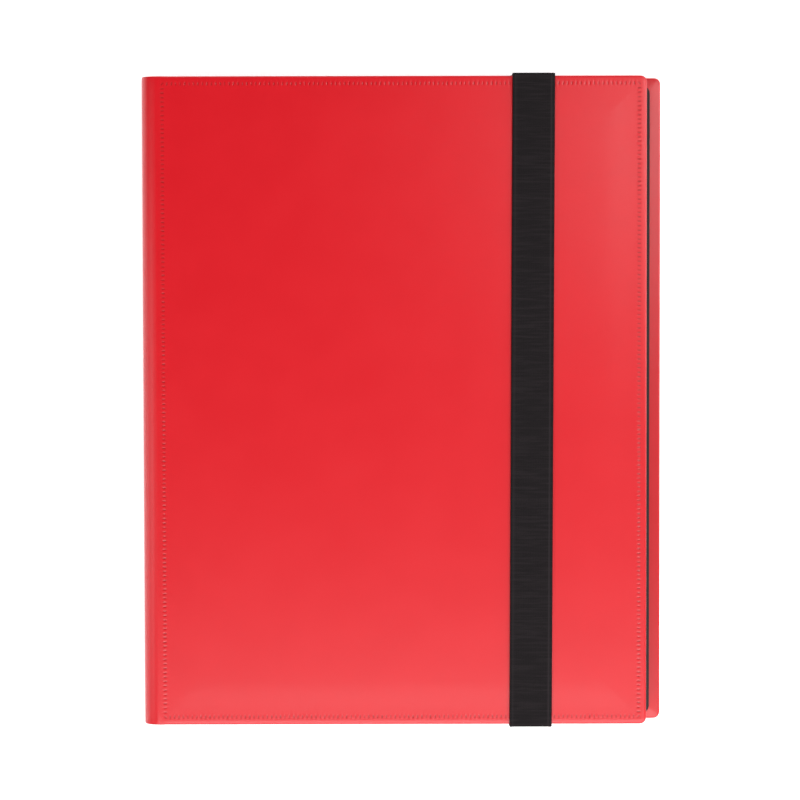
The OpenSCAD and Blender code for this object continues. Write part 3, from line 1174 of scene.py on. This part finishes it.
@dataclass
class Pockets:
    """The clear films of every leaf, three pockets by three on both faces."""

    rows: int = 3
    columns: int = 3
    strip_gap: float = 1.0
    weld: float = 1.6
    film: float = 0.05
    half_sheet: float = 0.1
    ease: float = 0.01
    bulge: float = 0.07
    crowd: float = 0.55
    cell_points: int = 15
    seed: int = 20

    def crowded(self, place: Value, span: Value) -> Value:
        """How far a point of a cell moves towards the cell's nearer side."""
        share = place / span
        return ((share * math.pi).math("SINE") * 0.5 - share) * self.crowd * span

    def tree(self, width: float, height: float, seed: int) -> GeometryTree:
        """The tree that makes one face of pockets.

        Args:
            width: the width of all columns.
            height: the height of all rows.
            seed: what the small differences between pockets come from.

        Returns:
            The tree, ready to run.
        """
        tree = GeometryTree("pocket_face", Columns=self.columns, Rows=self.rows, Width=width * MM,
                            Height=height * MM, Gap=self.strip_gap * MM, Bulge=self.bulge * MM,
                            Seed=seed, Finish=Slot.POCKET_FILM.value.material())
        columns, rows = tree.put("Columns"), tree.put("Rows")
        step_x = (tree.put("Width") + tree.put("Gap")) / columns
        step_y = tree.put("Height") / rows
        cell_w = step_x - tree.put("Gap")
        cell = tree.out("GeometryNodeMeshGrid", None, {
            "Size X": cell_w, "Size Y": step_y,
            "Vertices X": self.cell_points, "Vertices Y": self.cell_points})
        u, v, _ = tree.position()
        cell = tree.moved(cell, tree.vector(self.crowded(u, cell_w), self.crowded(v, step_y), 0.0))
        spots = tree.out("GeometryNodeMeshGrid", None, {
            "Size X": step_x * (columns - 1.0), "Size Y": step_y * (rows - 1.0),
            "Vertices X": columns, "Vertices Y": rows})
        whole = tree.spread(cell, spots, {"fill": (0.5, 1.0)})
        u, v = tree.named("along") / MM, tree.named("across") / MM
        near_row = step_y / (2 * MM) - v.math("ABSOLUTE")
        near_fore, open_side = cell_w / (2 * MM) - u, cell_w / (2 * MM) + u
        free = (near_row.smooth(self.weld * 0.6, self.weld * 2.2)
                * near_fore.smooth(self.weld, self.weld * 2.6))
        puff = free * open_side.smooth(-8.0, 22.0) * tree.named("fill")
        whole = tree.stored(whole, "weld", 1.0 - free)
        tree.finish(tree.moved(whole, tree.vector(0.0, 0.0, puff * tree.put("Bulge"))))
        return tree

    def build(self) -> None:
        """Makes the films of every leaf from its films' own box."""
        leaves = sorted(node for node in frame["nodes"] if node.endswith("_pockets"))
        for number, node in enumerate(leaves):
            low, high = Sizes.corner(node, False), Sizes.corner(node, True)
            wide, tall, _ = (high - low).tolist()
            middle = (low + high) / 2
            lift = self.half_sheet + self.film + self.ease
            face = self.tree(wide, tall, self.seed + number).run(f"{node}_up")
            reshaped(face, lambda points: points + middle + [0, 0, lift])
            thickened(face, self.film)
            under = upended(added(f"{node}_under", face.data.copy()), float(middle[2]))
            films = joined(node.replace("pockets", "films"), [face, under])
            Slot.POCKET_FILM.dress(films)
            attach(films, node.replace("_pockets", ""))
            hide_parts(node)
        LOG.info("films on %d leaves", len(leaves))


def dress_carried_nodes() -> None:
    """Gives every CAD node its slot's finish."""
    finishes = {slot.value.name: slot.value for slot in Slot}
    for entry in frame["record"]["subparts"]:
        node = frame["nodes"].get(entry["node"])
        if node is None:
            continue
        material = finishes[entry["material_slot"]].material()
        if not node.material_slots:
            node.data.materials.append(material)
        for place in node.material_slots:
            place.material = material


@dataclass(frozen=True)
class Panel:
    """A soft light panel that faces the binder: its place and size in metres, its power in watts."""

    name: str
    place: tuple[float, float, float]
    size: tuple[float, float]
    power: float

    def build(self) -> None:
        """Hangs the panel."""
        light = bpy.data.lights.new(self.name, "AREA")
        light.shape, light.energy = "RECTANGLE", self.power
        light.size, light.size_y = self.size
        lamp = added(self.name, light)
        lamp.location = self.place
        lamp.rotation_euler = (-Vector(self.place)).to_track_quat("-Z", "Y").to_euler()


@dataclass
class Studio:
    """The pale surface, the soft lights and the camera."""

    floor_size: float = 30.0
    floor_z: float = -0.0002
    eye: tuple[float, float, float] = (-0.0029, 0.05, 1.3)
    pitch: float = -2.23
    roll: float = -0.12
    lens: float = 122.7
    shift: tuple[float, float] = (0.0046, 0.0015)
    surround: tuple[float, float] = (0.02, 0.8)
    panels: tuple[Panel, ...] = (
        Panel("panel_tail", (0.05, -0.6, 0.5), (1.3, 0.35), 5.2),
        Panel("panel_head", (-0.1, 0.75, 0.6), (1.4, 0.35), 2.4),
        Panel("panel_fore", (1.1, 0.2, 0.7), (0.5, 1.2), 9.2),
        Panel("panel_spine", (-1.3, -0.15, 0.6), (0.5, 1.4), 3.0),
        Panel("sheen_tail", (0.05, -0.6, 1.45), (1.2, 0.28), 8.5),
        Panel("sheen_fore", (0.5, 0.3, 1.45), (0.28, 0.6), 3.8),
        Panel("sheen_spine", (-0.95, -0.15, 1.15), (0.7, 1.2), 2.3))

    def floor(self) -> None:
        """A plain pale surface."""
        half, z = self.floor_size / 2, self.floor_z
        mesh = bpy.data.meshes.new("surface")
        mesh.from_pydata([(-half, -half, z), (half, -half, z), (half, half, z), (-half, half, z)],
                         [], [(0, 1, 2, 3)])
        mesh.materials.append(Paper("surface", (0.95, 0.95, 0.95), 0.9).material())
        surface = added("surface", mesh)

    def backdrop(self) -> None:
        """An even surround that is bright near the horizon and dark above."""
        world = bpy.data.worlds.new("surround")
        world.use_nodes = True
        graph = Graph(world.node_tree)
        up = graph.parts(graph.out("ShaderNodeTexCoord", output="Generated"))[2]
        least, more = self.surround
        background = world.node_tree.nodes["Background"]
        graph.feed(background, "Color", (1.0, 1.0, 1.0, 1.0))
        graph.feed(background, "Strength", up.smooth(0.4, 0.05) * more + least)
        bpy.context.scene.world = world

    def camera(self) -> None:
        """A camera straight above the binder."""
        data = bpy.data.cameras.new("camera")
        data.lens, data.sensor_width, data.clip_end = self.lens, 36.0, 20.0
        data.shift_x, data.shift_y = self.shift
        eye = added("camera", data)
        eye.location = self.eye
        eye.rotation_euler = (math.radians(self.pitch), 0.0, math.radians(self.roll))
        bpy.context.scene.camera = eye

    def build(self) -> None:
        """Makes the whole studio."""
        self.floor()
        for panel in self.panels:
            panel.build()
        self.backdrop()
        self.camera()
        bpy.context.scene.view_settings.view_transform = "Standard"
        LOG.info("studio")


def main() -> None:
    """Builds the binder around its frame."""
    logging.basicConfig(level=logging.INFO, format="%(name)s: %(message)s")
    sizes = Sizes()
    dress_carried_nodes()
    Studio().build()
    for side in Side:
        x_hi = float(Sizes.corner(f"{side.value}_skin", True)[0])
        CoverLeather(side, sizes, x_hi).build()
        CoverLining(side, sizes, x_hi).build()
        Bend(side, sizes).build()
    Strap(sizes).build()
    Pockets().build()


if __name__ == "__main__":
    main()
